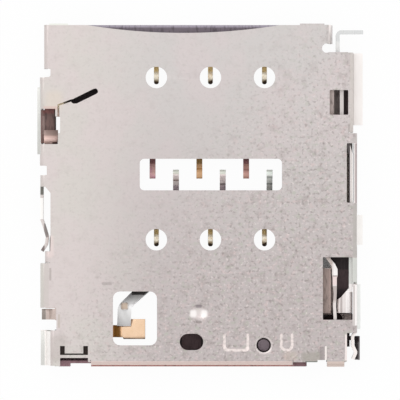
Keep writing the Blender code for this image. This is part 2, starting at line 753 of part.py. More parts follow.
def frame_outline():
    """The frame's floor, kept inside the cover's walls and notched where the cover is."""
    inside = SHEET + FRAME_GAP
    left_rear = LEFT_REAR + inside
    return [
        (LEFT_FRONT + inside, FRAME_FRONT),
        (RIGHT_FRONT - RIGHT_FRONT_SPLAY - inside, FRAME_FRONT),
        (RIGHT_FRONT - RIGHT_FRONT_SPLAY - inside, RIGHT_SHOULDER_Y[1] - inside),
        (RIGHT_SHOULDER - inside, RIGHT_SHOULDER_Y[1] - inside),
        (RIGHT_SHOULDER - inside, RIGHT_SHOULDER_Y[0]),
        (RIGHT_BROAD - inside, RIGHT_SHOULDER_Y[0]),
        (RIGHT_BROAD - inside, EAR_CORNER[2]),
        (EAR_CORNER[0], EAR_CORNER[2]),
        (EAR_CORNER[0], EAR_UPRIGHT[3]),
        (EAR_UPRIGHT[1], EAR_UPRIGHT[3]),
        (EAR_UPRIGHT[1], EAR_UPRIGHT[2]),
        (EAR_SOLE, EAR_UPRIGHT[2]),
        (EAR_SOLE, EAR_NECK),
        (EAR_CORNER[0], EAR_NECK),
        (EAR_CORNER[0], EAR_CORNER[1]),
        (RIGHT_REAR - FRAME_GAP, EAR_CORNER[1]),
        (RIGHT_REAR - FRAME_GAP, REAR_TAB + inside),
        (REAR_TAB_X[0], REAR_TAB + inside),
        (REAR_TAB_X[0], REAR_GAP),
        (REAR_STEP_X, REAR_GAP),
        (REAR_STEP_X, REAR_STEP),
        (REAR_WALL_END, REAR_STEP),
        (REAR_WALL_END, FRAME_REAR),
        *notched_rear(),
        (left_rear, FRAME_REAR),
        (left_rear, LEFT_REAR_Y[1]),
        (NOTCH_REAR + FRAME_GAP, LEFT_REAR_Y[1]),
        (NOTCH_REAR + FRAME_GAP, LEFT_LOW_Y[0]),
        (LEFT_MIDDLE + inside, LEFT_LOW_Y[0] + FRAME_GAP),
        (LEFT_MIDDLE + inside, LEFT_LOW_Y[1]),
        (LEFT_NARROW + inside, LEFT_LOW_Y[1]),
        (LEFT_NARROW + inside, LEAF_MOUTH_Y[0]),
        (LEAF_MOUTH + FRAME_GAP, LEAF_MOUTH_Y[0] + LEAF_RECESS),
        (LEAF_MOUTH + FRAME_GAP, LEFT_BROAD_Y[0] + FRAME_GAP),
        (LEFT_BROAD + inside, LEFT_BROAD_Y[0] + FRAME_GAP),
        (LEFT_BROAD + inside, LEFT_BROAD_Y[1] - FRAME_GAP),
        (NOTCH_FRONT + FRAME_GAP, LEFT_BROAD_Y[1] - FRAME_GAP),
        (NOTCH_FRONT + FRAME_GAP, LEFT_FRONT_Y[0] + FRAME_GAP),
        (LEFT_FRONT + inside, LEFT_FRONT_Y[0] + FRAME_GAP),
    ]


def chamfer_mouth(frame):
    """Breaks the floor's front top edge, where the tray slides in."""
    shape = bmesh.new()
    shape.from_mesh(frame.data)
    edges = [
        e
        for e in shape.edges
        if all(abs(v.co.y - FRAME_FRONT) < 0.001 and v.co.z > FLOOR - 0.001 for v in e.verts)
    ]
    bmesh.ops.bevel(shape, geom=edges, offset=FRAME_CHAMFER, segments=1, affect="EDGES")
    shape.to_mesh(frame.data)
    shape.free()


def side_opening():
    """The floor's opening under the side spring, out to the wall behind the window, with the sight slit."""
    left = SIDE_SPRING_X[0] - POCKET_GAP
    right = SIDE_HEAD_X[1] - SIDE_HEAD_LAP
    rear = SIDE_ROOT_Y[1] - FRAME_GAP
    tip = SIDE_TIP_Y - SIDE_TIP_LAP
    x0, x1, y0, y1 = SIDE_SLIT
    return [
        (LEFT_BROAD, rear),
        (right, rear),
        (right, y0),
        (x1, y0),
        (x1, y1),
        (x0, y1),
        (x0, tip),
        (left, tip),
        (left, SPRING_WINDOW[2]),
        (LEFT_BROAD, SPRING_WINDOW[2]),
    ]


def sight_windows():
    """The floor's openings under the contacts, the switch and the side spring."""
    margin = VIEW_HOLE_RADIUS + SIGHT_MARGIN
    openings = []
    for row, y in SIM_ROWS.items():
        for x in SIM_COLUMNS:
            openings.append(rectangle(x - margin, x + margin, y - margin, y + SIM_REACH[row] + FRAME_GAP))
    half = MEMORY_PITCH * (MEMORY_COUNT - 1) / 2 + MEMORY_WIDTH / 2 + SIGHT_MARGIN
    rows = (MEMORY_REAR_ROW[0] - FRAME_GAP, MEMORY_FRONT_ROW[0] + FRAME_GAP)
    openings.append(rectangle(MEMORY_CENTRE - half, MEMORY_CENTRE + half, *rows))
    x0, x1, y0, y1 = SWITCH_WINDOW
    m = SWITCH_MARGIN
    openings.append(rectangle(x0 - m, x1 + m, y0 - m, y1 + m))
    openings.append(side_opening())
    openings.append(circle(PIVOT, PIVOT_RADIUS + PIVOT_CLEARANCE, PIVOT_STEPS))
    openings.append(circle(RELIEF_AT, RELIEF_RADIUS + RELIEF_MARGIN))
    return openings


def root_pockets():
    """Pockets in the floor's underside that the contacts' roots and the pivot's head lie in."""
    gap = POCKET_GAP
    pockets = []
    for row, y in SIM_ROWS.items():
        start = y + SIM_REACH[row]
        for x in SIM_COLUMNS:
            half = SIM_ROOT_WIDTH / 2 + gap
            pockets.append(rectangle(x - half, x + half, start, start + SIM_ROOT[row] + gap))
    for i in range(MEMORY_COUNT):
        x = memory_x(i)
        half = MEMORY_WIDTH / 2 + gap
        start, root = memory_root(i)
        low, high = sorted((start, root + math.copysign(gap, root - start)))
        pockets.append(rectangle(x - half, x + half, low, high))
    neck = (PAD_NECK[0] - gap, PAD_NECK[1] + gap)
    pockets.append(rectangle(PAD_BEND[0] - PAD_ROOT - gap, PAD_BEND[0], *neck))
    spring = (SWITCH_ROOT_X[0] - gap, SWITCH_ROOT_X[1] + gap)
    back = SWITCH_WINDOW[3]
    pockets.append(rectangle(*spring, back, back + SWITCH_MARGIN + SWITCH_ROOT + gap))
    side = (SIDE_SPRING_X[0] - gap, SIDE_SPRING_X[1] + gap)
    pockets.append(rectangle(*side, SIDE_ROOT_Y[0] - gap, SIDE_ROOT_Y[1]))
    pockets.append(circle(PIVOT, PIVOT_HEAD_RADIUS + PIVOT_CLEARANCE, PIVOT_STEPS))
    return pockets


def housing(drawing):
    """The moulded frame: a floor with sight windows, side rails, guide wall, rear wall, ledge and ear."""
    frame = slab(drawing, "housing", [frame_outline()], 0, FLOOR)
    chamfer_mouth(frame)
    rail_top = COVER_UNDER - SEAT_GAP
    rail_left = NOTCH_FRONT + 2 * FRAME_GAP
    rear_left = NOTCH_REAR + 2 * FRAME_GAP
    rails = [
        rectangle(rail_left, TRAY_LEFT, SPRING_WINDOW[3] + FRAME_GAP, FRAME_FRONT - RAIL_SETBACK),
        rectangle(rail_left, TRAY_LEFT, LEFT_LOW_Y[0] + RAIL_SETBACK, SIDE_ROOT_Y[1] - 2 * FRAME_GAP),
        rectangle(rear_left, TONGUE[1], REAR_NOTCH[2], LEFT_REAR_Y[1] - FRAME_GAP),
        rectangle(TRAY_RIGHT, TRAY_RIGHT + GUIDE_WALL, GUIDE_END, RIGHT_SHOULDER_Y[1] - SHEET - 2 * FRAME_GAP),
        rectangle(*LATCH_BLOCK),
    ]
    drawing.combine(frame, slab(drawing, "frame_rails", rails, FLOOR / 2, rail_top), "UNION")
    wall_end = REAR_WALL_END - FRAME_GAP
    rear_wall = [(rear_left, REAR_WALL_INNER), (wall_end, REAR_WALL_INNER), (wall_end, FRAME_REAR)]
    low = [
        [*notched_rear(), (rear_left, FRAME_REAR), *rear_wall],
        rectangle(*LEDGE),
        rectangle(*EAR_UPRIGHT),
    ]
    drawing.combine(frame, slab(drawing, "frame_low_walls", low, FLOOR / 2, FRAME_LOW_TOP), "UNION")
    boss = rectangle(*WALL_BOSS, SPRING_WINDOW[2] + FRAME_GAP, SPRING_WINDOW[3] - FRAME_GAP)
    drawing.combine(frame, slab(drawing, "wall_boss", [boss], *WALL_BOSS_Z), "UNION")
    under = -SHEET
    drawing.combine(frame, slab(drawing, "sight_windows", sight_windows(), under, HEIGHT), "DIFFERENCE")
    pockets = slab(drawing, "root_pockets", root_pockets(), under, STRIP + POCKET_GAP)
    drawing.combine(frame, pockets, "DIFFERENCE")
    half = LATCH_THICKNESS / 2 + POCKET_GAP
    x, y = LATCH_LINE[0][:2]
    slit = rectangle(x - half, x + half + POCKET_GAP, y - POCKET_GAP, LATCH_BLOCK[3] + SHEET)
    slit_z = (LATCH_Z[0] - POCKET_GAP, HEIGHT)
    drawing.combine(frame, slab(drawing, "latch_slit", [slit], *slit_z), "DIFFERENCE")
    return drawing.piece(frame, "frame_black")


def round_tip(start, end, middle, half):
    """Points from start to end of a strip's last stretch, which narrows to a round end."""
    along = (Vector(end) - Vector(start)).normalized()
    points = []
    for step in range(TIP_STEPS + 1):
        turn = math.pi / 2 * (1 - step / (TIP_STEPS + 0.5))
        place = Vector(end) - along * half * (1 - math.cos(turn))
        width = half * math.sin(turn)
        points.append((*place, middle - width, middle + width))
    return points


def sim_contact(drawing, row, side, x):
    """A sprung sim contact: a root in the floor, a tapering beam and a rounded crown near its tip."""
    y = SIM_ROWS[row]
    root = SIM_ROOT_WIDTH / 2
    tip = SIM_WIDTH / 2
    start = y + SIM_REACH[row]
    crown = (y + SIM_CROWN, CROWN_Z)
    path = [
        (start + SIM_ROOT[row], ROOT_Z, x - root, x + root),
        (start, ROOT_Z, x - root, x + root),
        (start - SIM_REACH[row] / 2, (ROOT_Z + CROWN_Z) / 2, x - tip, x + tip),
        (*crown, x - tip, x + tip),
        *round_tip(crown, (y - SIM_TIP, CROWN_Z - TIP_DROP), x, tip),
    ]
    name = f"sim_contact_{row}_{side}"
    return drawing.piece(strips(drawing, name, [("X", path)], STRIP, CROWN_BEND), "contact_gold")


def memory_x(i):
    """The place along X of a memory card contact."""
    return MEMORY_CENTRE + MEMORY_PITCH * (i - (MEMORY_COUNT - 1) / 2)


def memory_root(i):
    """Where a memory card contact leaves the floor, and where its root ends. Odd ones lie in the front row."""
    if i % 2:
        return MEMORY_FRONT_ROW[0], MEMORY_FRONT_ROW[0] + MEMORY_ROOT
    return MEMORY_REAR_ROW[0], MEMORY_REAR_ROW[0] - MEMORY_ROOT


def memory_contact(drawing, i):
    """A memory card contact. The two rows reach towards each other, one between the next."""
    start, root = memory_root(i)
    tip = MEMORY_FRONT_ROW[1] if i % 2 else MEMORY_REAR_ROW[1]
    crown = tip + math.copysign(MEMORY_TIP, start - tip)
    path = [(root, ROOT_Z), (start, ROOT_Z), (crown, CROWN_Z), (tip, CROWN_Z - TIP_DROP / 2)]
    x = memory_x(i)
    run = ("X", spread(path, x - MEMORY_WIDTH / 2, x + MEMORY_WIDTH / 2))
    name = f"memory_contact_{i + 1}"
    return drawing.piece(strips(drawing, name, [run], STRIP, CROWN_BEND), "memory_bronze")


def detect_switch(drawing):
    """The switch: a fixed pad with a broad end, and the spring with a contact button on its crown, whose tip
    hangs just over the pad."""
    pad = [
        (PAD_BEND[0] - PAD_ROOT, ROOT_Z, *PAD_NECK),
        (PAD_BEND[0], ROOT_Z, *PAD_NECK),
        (PAD_BEND[1], PAD_Z, *PAD_NECK),
        (PAD_FOOT - PAD_STEP, PAD_Z, *PAD_NECK),
        (PAD_FOOT + PAD_STEP, PAD_Z, PAD[2], PAD_NECK[1]),
        (PAD[0] - PAD_STEP, PAD_Z, PAD[2], PAD_NECK[1]),
        (PAD[0] + PAD_STEP, PAD_Z, PAD[2], PAD[3]),
        (PAD[1], PAD_Z, PAD[2], PAD[3]),
    ]
    terminal = strips(drawing, "detect_switch_terminal", [("Y", pad)], STRIP, STRIP)
    drawing.piece(terminal, "switch_gold")
    back = SWITCH_WINDOW[3] + SWITCH_MARGIN
    tip_z = PAD_Z + STRIP + SWITCH_TIP_GAP
    leaf = [
        (back + SWITCH_ROOT, ROOT_Z, *SWITCH_ROOT_X),
        (back - FRAME_GAP, ROOT_Z, *SWITCH_ROOT_X),
        (SWITCH_CROWN_Y, CROWN_Z, *SWITCH_CROWN_X),
        (SWITCH_TIP_Y, tip_z, *SWITCH_TIP_X),
    ]
    spring = strips(drawing, "detect_switch_spring", [("X", leaf)], STRIP, CROWN_BEND)
    turns = [math.pi * i / BUTTON_STEPS for i in range(BUTTON_STEPS + 1)]
    button = [(BUTTON_RADIUS * math.sin(a), CROWN_Z + BUTTON_RISE * math.cos(a)) for a in turns]
    centre = (sum(SWITCH_CROWN_X) / 2, SWITCH_CROWN_Y)
    drawing.combine(spring, turned(drawing, "switch_button", button, centre), "UNION", "MANIFOLD")
    drawing.piece(spring, "spring_steel")


def side_spring(drawing):
    """The curled spring in the left window, broader at its head."""
    path = [
        (SIDE_ROOT_Y[0], ROOT_Z, *SIDE_SPRING_X),
        (SIDE_ROOT_Y[1], ROOT_Z, *SIDE_SPRING_X),
        (SIDE_CROWN_Y, CROWN_Z, *SIDE_HEAD_X),
        (SIDE_TIP_Y, CROWN_Z - 2 * TIP_DROP, *SIDE_HEAD_X),
    ]
    spring = strips(drawing, "side_spring", [("X", path)], STRIP, CROWN_BEND)
    return drawing.piece(spring, "memory_bronze")


def tray_latch_spring(drawing):
    """The leaf on edge whose nose, folded double, clicks into the tray's side."""
    outline = stroke(rounded(LATCH_LINE, BEND_RADIUS))
    return drawing.piece(slab(drawing, "tray_latch_spring", [outline], *LATCH_Z), "spring_steel")


def push_rod(drawing):
    """The push rod: a strip on edge, hooked out at the front, and folded over and down at the rear, where
    the flag's inner edge meets the lever."""
    path = [
        (ROD_HOOK_END, ROD_HOOK_Y),
        (ROD_FRONT_X, ROD_HOOK_Y),
        (ROD_FRONT_X, ROD_JOG_Y[0]),
        (ROD_MIDDLE_X, ROD_JOG_Y[1]),
        (ROD_MIDDLE_X, ROD_JOG_Y[2]),
        (ROD_REAR_X, ROD_JOG_Y[3]),
        (ROD_REAR_X, FLAG_FRONT - FLAG_LAP),
    ]
    rod = strips(drawing, "push_rod", [("Z", spread(path, *ROD_Z))], ROD_SHEET, ROD_BEND)
    flag_z = ROD_Z[1] - FLAG_STEP - FLAG_SHEET / 2
    flag = [
        (ROD_REAR_X, ROD_Z[0] + FLAG_STEP, ROD_END, FLAG_FRONT),
        (ROD_REAR_X, flag_z, ROD_END, FLAG_FRONT),
        (FLAG_INNER, flag_z, ROD_END, FLAG_SHOULDER),
        (FLAG_INNER, ROD_Z[0], ROD_END, FLAG_SHOULDER),
    ]
    fold = strips(drawing, "rod_flag", [("Y", flag)], FLAG_SHEET, FLAG_BEND)
    drawing.combine(rod, fold, "UNION", "MANIFOLD")
    return drawing.piece(rod, "spring_steel")


def lever_outline():
    """The lever seen from above: a boss, a straight arm to the rod and a tail along the rear wall."""
    pivot = Vector(PIVOT)
    tip = Vector((ARM_END_X, ROD_END - ROD_CONTACT_GAP - TIP_RADIUS))
    along = (tip - pivot).normalized()
    across = Vector((-along.y, along.x))
    nub_top = TAIL_TOP + NUB_RISE
    corners = [
        pivot + along * BOSS_RADIUS + across * ARM_HALF,
        tip + (along + across) * TIP_RADIUS,
        tip + (along - across) * TIP_RADIUS,
        pivot + along * BOSS_RADIUS - across * ARM_HALF,
        (pivot.x + BOSS_RADIUS / 2, pivot.y - BOSS_RADIUS),
        (pivot.x - BOSS_RADIUS, TAIL_BOTTOM),
        (TAIL_END, TAIL_BOTTOM),
        (TAIL_END, nub_top),
        (TAIL_END + NUB_WIDTH, nub_top),
        (TAIL_END + NUB_WIDTH, TAIL_TOP),
        (pivot.x - BOSS_RADIUS * 1.3, TAIL_TOP),
        (pivot.x - BOSS_RADIUS, pivot.y + BOSS_RADIUS / 2),
        (pivot.x - BOSS_RADIUS / 3, pivot.y + BOSS_RADIUS),
        (pivot.x + BOSS_RADIUS / 3, pivot.y + BOSS_RADIUS),
    ]
    return rounded(corners, LEVER_CORNER, closed=True)


def eject_lever(drawing):
    """The flat lever that the rod turns and that pushes the tray out."""
    outlines = [lever_outline(), circle(PIVOT, PIVOT_RADIUS + PIVOT_CLEARANCE, PIVOT_STEPS)]
    lever = slab(drawing, "eject_lever", outlines, LEVER_BOTTOM, LEVER_BOTTOM + LEVER_THICK)
    move_origin(lever, (*PIVOT, 0))
    return drawing.piece(lever, "lever_steel")


def lever_pivot(drawing):
    """The rivet that the lever turns on, from the frame's underside up into the cover's hole."""
    top = HEIGHT - POCKET_GAP
    profile = [
        (0, top),
        (PIVOT_RADIUS - PIVOT_CHAMFER, top),
        (PIVOT_RADIUS, top - PIVOT_CHAMFER),
        (PIVOT_RADIUS, STRIP),
        (PIVOT_HEAD_RADIUS, STRIP),
        (PIVOT_HEAD_RADIUS, 0),
        (0, 0),
    ]
    return drawing.piece(turned(drawing, "lever_pivot", profile, PIVOT, PIVOT_STEPS), "lever_steel")


def build():
    """Draws the whole socket."""
    drawing = Drawing()
    shell_cover(drawing)
    housing(drawing)
    for row in SIM_ROWS:
        for side, x in zip(("left", "middle", "right"), SIM_COLUMNS):
            sim_contact(drawing, row, side, x)
    for i in range(MEMORY_COUNT):
        memory_contact(drawing, i)
    detect_switch(drawing)
    side_spring(drawing)
    tray_latch_spring(drawing)
    push_rod(drawing)
    eject_lever(drawing)
    lever_pivot(drawing)


build()
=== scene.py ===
"""The looks of a sim card socket: a folded steel cover over a black moulded frame, with contact springs, a
detect switch, a tray latch, a push rod and an eject lever, seen straight from above on white."""

import math

import bpy
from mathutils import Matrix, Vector


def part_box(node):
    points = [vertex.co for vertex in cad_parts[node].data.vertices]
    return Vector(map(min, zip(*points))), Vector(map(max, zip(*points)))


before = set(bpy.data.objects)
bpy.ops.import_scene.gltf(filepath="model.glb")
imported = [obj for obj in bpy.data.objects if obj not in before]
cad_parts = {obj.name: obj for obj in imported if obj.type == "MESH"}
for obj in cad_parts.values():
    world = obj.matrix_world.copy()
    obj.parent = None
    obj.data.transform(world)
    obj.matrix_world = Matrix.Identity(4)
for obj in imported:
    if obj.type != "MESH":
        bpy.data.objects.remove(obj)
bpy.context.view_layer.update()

MM = 0.001

# Heights of the cover's top, of the lines coined into it, and of the tops of its tinned feet
COVER_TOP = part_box("shell_cover")[1].z
COIN_LEVEL = COVER_TOP - 0.04 * MM
LEVEL_REACH = 0.006 * MM
FOOT_LEVEL = 0.17 * MM

# The memory contacts stand this far apart, in the front and the rear row by turns
MEMORY_PITCH = 1.10 * MM
ROWS_PHASE = -0.473 * math.pi

# The photograph's frame: 400 pixels at 21.3 pixels to the millimetre
VIEW_WIDTH = 400 / 21.3 * MM
VIEW_MIDDLE_Y = -0.225 * MM
CAMERA_DISTANCE = 0.35
SENSOR = 36.0

# The light tent's darker ends and bright sides, and how white the table looks to the camera
TENT_END = 0.75
TENT_SIDE = 1.05
TABLE_WHITE = 0.96
TABLE_REACH = 1.0

# The soft lamp at the front left, in metres and watts
LAMP_PLACE = (-0.05, 0.05, 0.09)
LAMP_SIZE = 0.06
LAMP_POWER = 0.012

# Points closer than this are one, flatter seams than this are none, and sharper edges than this are broken
WELD_REACH = 0.0002 * MM
FLAT_SEAM = math.radians(0.5)
SHARP_EDGE = math.radians(40)


def linear(colour):
    """An sRGB hex colour as linear light, with alpha."""
    channels = [int(colour[i : i + 2], 16) / 255 for i in (0, 2, 4)]
    return (*[c / 12.92 if c <= 0.04045 else ((c + 0.055) / 1.055) ** 2.4 for c in channels], 1.0)


def node(tree, kind, inputs, output=0, **settings):
    """Adds a node with its settings and links. Each input, by name or number, takes a value, a hex colour
    or another node's output. Gives the node's output by name or number."""
    added = tree.nodes.new("ShaderNode" + kind)
    for name, value in settings.items():
        setattr(added, name, value)
    for socket, value in inputs.items():
        if isinstance(value, bpy.types.NodeSocket):
            tree.links.new(value, added.inputs[socket])
        else:
            added.inputs[socket].default_value = linear(value) if isinstance(value, str) else value
    return added.outputs[output]


def blank_finish(name, metallic, roughness, ior=1.5):
    """A new material: the material, its tree, its shader, and the places and normals on the piece."""
    material = bpy.data.materials.new(name)
    material.use_nodes = True
    tree = material.node_tree
    shader = tree.nodes["Principled BSDF"]
    shader.inputs["Metallic"].default_value = metallic
    shader.inputs["Roughness"].default_value = roughness
    shader.inputs["IOR"].default_value = ior
    place = node(tree, "TexCoord", {}, "Object")
    facing = node(tree, "SeparateXYZ", {0: place.node.outputs["Normal"]}).node.outputs
    return material, tree, shader, place, facing


def grain(tree, place, size, detail=2.0, roughness=0.5):
    """Noise whose grains have a real size in millimetres: one number, or three along X, Y and Z."""
    sizes = size if isinstance(size, tuple) else (size,) * 3
    spread = node(tree, "VectorMath", {0: place, 1: [1 / (s * MM) for s in sizes]}, operation="MULTIPLY")
    return node(tree, "TexNoise", {"Vector": spread, "Scale": 1.0, "Detail": detail, "Roughness": roughness})


def laid(tree, under, over, pattern, low, high, share=1.0):
    """Lays one colour over another where a pattern goes from low to high, up to a share."""
    limits = {"Value": pattern, "From Min": low, "From Max": high, "To Max": share}
    amount = node(tree, "MapRange", limits, interpolation_type="SMOOTHSTEP")
    return node(tree, "Mix", {0: amount, 6: under, 7: over}, 2, data_type="RGBA")


def within(tree, place, box, soft=0.05):
    """1 inside a box seen from above (x0, x1, y0, y1 in millimetres) and 0 outside, with round corners."""
    x0, x1, y0, y1 = [edge * MM for edge in box]
    middle = ((x0 + x1) / 2, (y0 + y1) / 2, 0)
    half = ((x1 - x0) / 2, (y1 - y0) / 2, 1.0)
    away = node(tree, "VectorMath", {0: place, 1: middle}, operation="SUBTRACT")
    away = node(tree, "VectorMath", {0: away}, operation="ABSOLUTE")
    away = node(tree, "VectorMath", {0: away, 1: half}, operation="SUBTRACT")
    away = node(tree, "VectorMath", {0: away, 1: (0, 0, 0)}, operation="MAXIMUM")
    away = node(tree, "VectorMath", {0: away}, "Value", operation="LENGTH")
    limits = {"Value": away, "From Min": soft * MM, "From Max": 0.0}
    return node(tree, "MapRange", limits, interpolation_type="SMOOTHSTEP")


def marked(tree, place, colour, marks):
    """Lays a piece's marks over its colour: (x0, x1, y0, y1) in millimetres, soft border, colour, share."""
    for box, soft, mark, share in marks:
        colour = laid(tree, colour, mark, within(tree, place, box, soft), 0.0, 1.0, share)
    return colour


def finished(tree, shader, colour, matte, height, depth):
    """Links a finish: its colour, its roughness as (pattern, smoothest, roughest), and its relief with its
    depth in millimetres."""
    tree.links.new(colour, shader.inputs["Base Color"])
    pattern, smooth, rough = matte
    limits = {"Value": pattern, "From Min": 0.3, "From Max": 0.7, "To Min": smooth, "To Max": rough}
    tree.links.new(node(tree, "MapRange", limits), shader.inputs["Roughness"])
    tree.links.new(node(tree, "Bump", {"Height": height, "Distance": depth * MM}), shader.inputs["Normal"])


# Places on the cover with painted light on its bends, walls, feet and sheared edges, painted shade in its
# creases and under its edges, and a few scratches, stains and duller places
COVER_MARKS = (
    # A scratch in front of the switch window
    ((-4.55, -4.19, -4.17, -4.13), 0.10, "8e8583", 0.40),
    # Painted shade on the low left tab's end and its root, and in the corner of the notch behind it
    ((-7.45, -7.28, -5.86, -5.32), 0.08, "7f766d", 0.80),
    ((-7.20, -6.80, -5.86, -5.32), 0.08, "c4b2a9", 0.80),
    ((-7.16, -7.06, -6.38, -6.34), 0.08, "7d7f77", 0.90),
    # Painted shade on the patch beside the rear tab, where the sheet curves down, and on a strip at its
    # right, a warm stain, and a painted highlight on the bright edge of the slit
    ((4.90, 5.60, -7.70, -7.50), 0.25, "a8a499", 0.55),
    ((5.64, 5.80, -7.74, -7.13), 0.04, "9b9192", 0.60),
    ((4.10, 4.40, -7.60, -7.50), 0.35, "cbb9a8", 0.30),
    ((5.89, 5.93, -7.75, -7.10), 0.03, "fff6f2", 0.90),
    # Darker lines along the two sides, and a painted highlight on the bend at the left
    ((6.98, 7.03, 2.98, 3.30), 0.05, "a79f9b", 0.50),
    ((-7.05, -7.01, -3.98, -3.44), 0.05, "a39a95", 0.50),
    ((-6.64, -6.60, -6.20, -5.62), 0.06, "b3a796", 0.40),
    ((-7.08, -7.00, -2.80, -2.00), 0.25, "f0dcd8", 0.45),
    # The right side: painted light on the shoulder, the window's edge, the curl, the walls, the long slot's
    # wall and three feet, and painted shade in thin lines along the bends
    ((7.10, 7.20, 2.95, 6.70), 0.12, "dad3cd", 0.60),
    ((7.00, 7.20, -5.56, -4.30), 0.03, "ffffff", 1.00),
    ((6.82, 6.90, -7.75, -6.55), 0.02, "f7ece9", 0.90),
    ((7.05, 7.45, -7.80, -6.50), 0.02, "fff8f5", 0.90),
    ((7.20, 7.42, -6.10, -4.22), 0.04, "fffaf8", 0.95),
    ((7.14, 7.42, -4.14, -2.95), 0.04, "d9dcd6", 0.80),
    ((7.21, 7.25, -6.10, -4.25), 0.04, "c4bbb7", 0.80),
    ((7.20, 7.28, -0.35, 2.44), 0.03, "f4edea", 0.90),
    ((7.31, 7.33, -0.35, 2.40), 0.03, "9b8284", 0.80),
    ((7.20, 7.34, -2.90, -0.45), 0.04, "bdb9b4", 0.80),
    ((7.38, 7.75, -2.40, -0.85), 0.03, "fffcf9", 1.00),
    ((7.40, 7.70, -6.50, -4.20), 0.03, "f4f6f3", 0.95),
    ((7.28, 7.75, 2.95, 6.70), 0.04, "fffaf7", 1.00),
    # The left side: painted light on the rear wall, the feet and the bends, a duller rear corner, and
    # painted shade on the leaf's bends
    ((-7.30, -7.04, -8.10, -6.40), 0.03, "fffaf7", 0.95),
    ((-7.60, -7.33, -8.10, -6.40), 0.03, "d6d6d2", 0.90),
    ((-6.80, -6.50, -7.60, -6.80), 0.45, "c2b9b5", 0.50),
    ((-7.60, -7.36, -3.00, -2.60), 0.06, "eeeae6", 0.60),
    ((-7.80, -7.50, 1.90, 5.20), 0.03, "d3d3cf", 0.95),
    ((-7.48, -7.36, -5.20, -3.20), 0.10, "d3d3cb", 0.60),
    ((-7.36, -7.14, -5.20, -3.20), 0.08, "ccc5c0", 0.50),
    ((-7.48, -7.32, 0.06, 0.36), 0.08, "5a5c54", 0.85),
    ((-7.60, -7.26, -1.10, -0.15), 0.04, "fffdfa", 0.90),
    ((-7.30, -7.17, -1.95, -1.35), 0.06, "7b7270", 0.80),
    ((-7.60, -7.34, -2.66, -2.40), 0.08, "645452", 0.80),
    # The front: painted light on the right wall and along the left edge
    ((6.06, 6.40, 7.05, 8.10), 0.03, "fff6f3", 0.95),
    ((-7.10, -6.20, 8.00, 8.08), 0.03, "eceee6", 0.90),
    # The rear: a painted highlight on the lip's bend, painted shade on the step's edge, and the tab
    ((-5.10, 4.30, -8.00, -7.82), 0.05, "e8d3cc", 0.80),
    ((4.95, 5.50, -7.90, -7.80), 0.02, "6f7870", 0.80),
    ((5.95, 6.80, -8.10, -7.82), 0.03, "dac7bd", 0.80),
    # A warm stain before the side window
    ((-6.95, -6.75, 4.30, 4.60), 0.60, "e3d5c4", 0.40),
    ((-7.30, -6.70, 4.07, 4.12), 0.12, "dba99f", 0.35),
    # Painted highlights on the dimple, a bright ring with two glints, and painted shade on its front and
    # rear
    ((-0.14, 0.02, -5.62, -5.50), 0.38, "f6ecea", 0.60),
    ((-0.36, -0.28, -5.62, -5.50), 0.22, "fffaf8", 0.95),
    ((0.16, 0.24, -5.62, -5.50), 0.22, "fffaf8", 0.95),
    ((-0.14, 0.02, -5.22, -5.20), 0.12, "988e91", 0.85),
    ((-0.14, 0.02, -5.96, -5.94), 0.10, "948a88", 0.60),
    # A painted highlight in a ring round the pivot's hole
    ((2.87, 3.11, -7.22, -6.98), 0.36, "f6eeeb", 0.90),
)


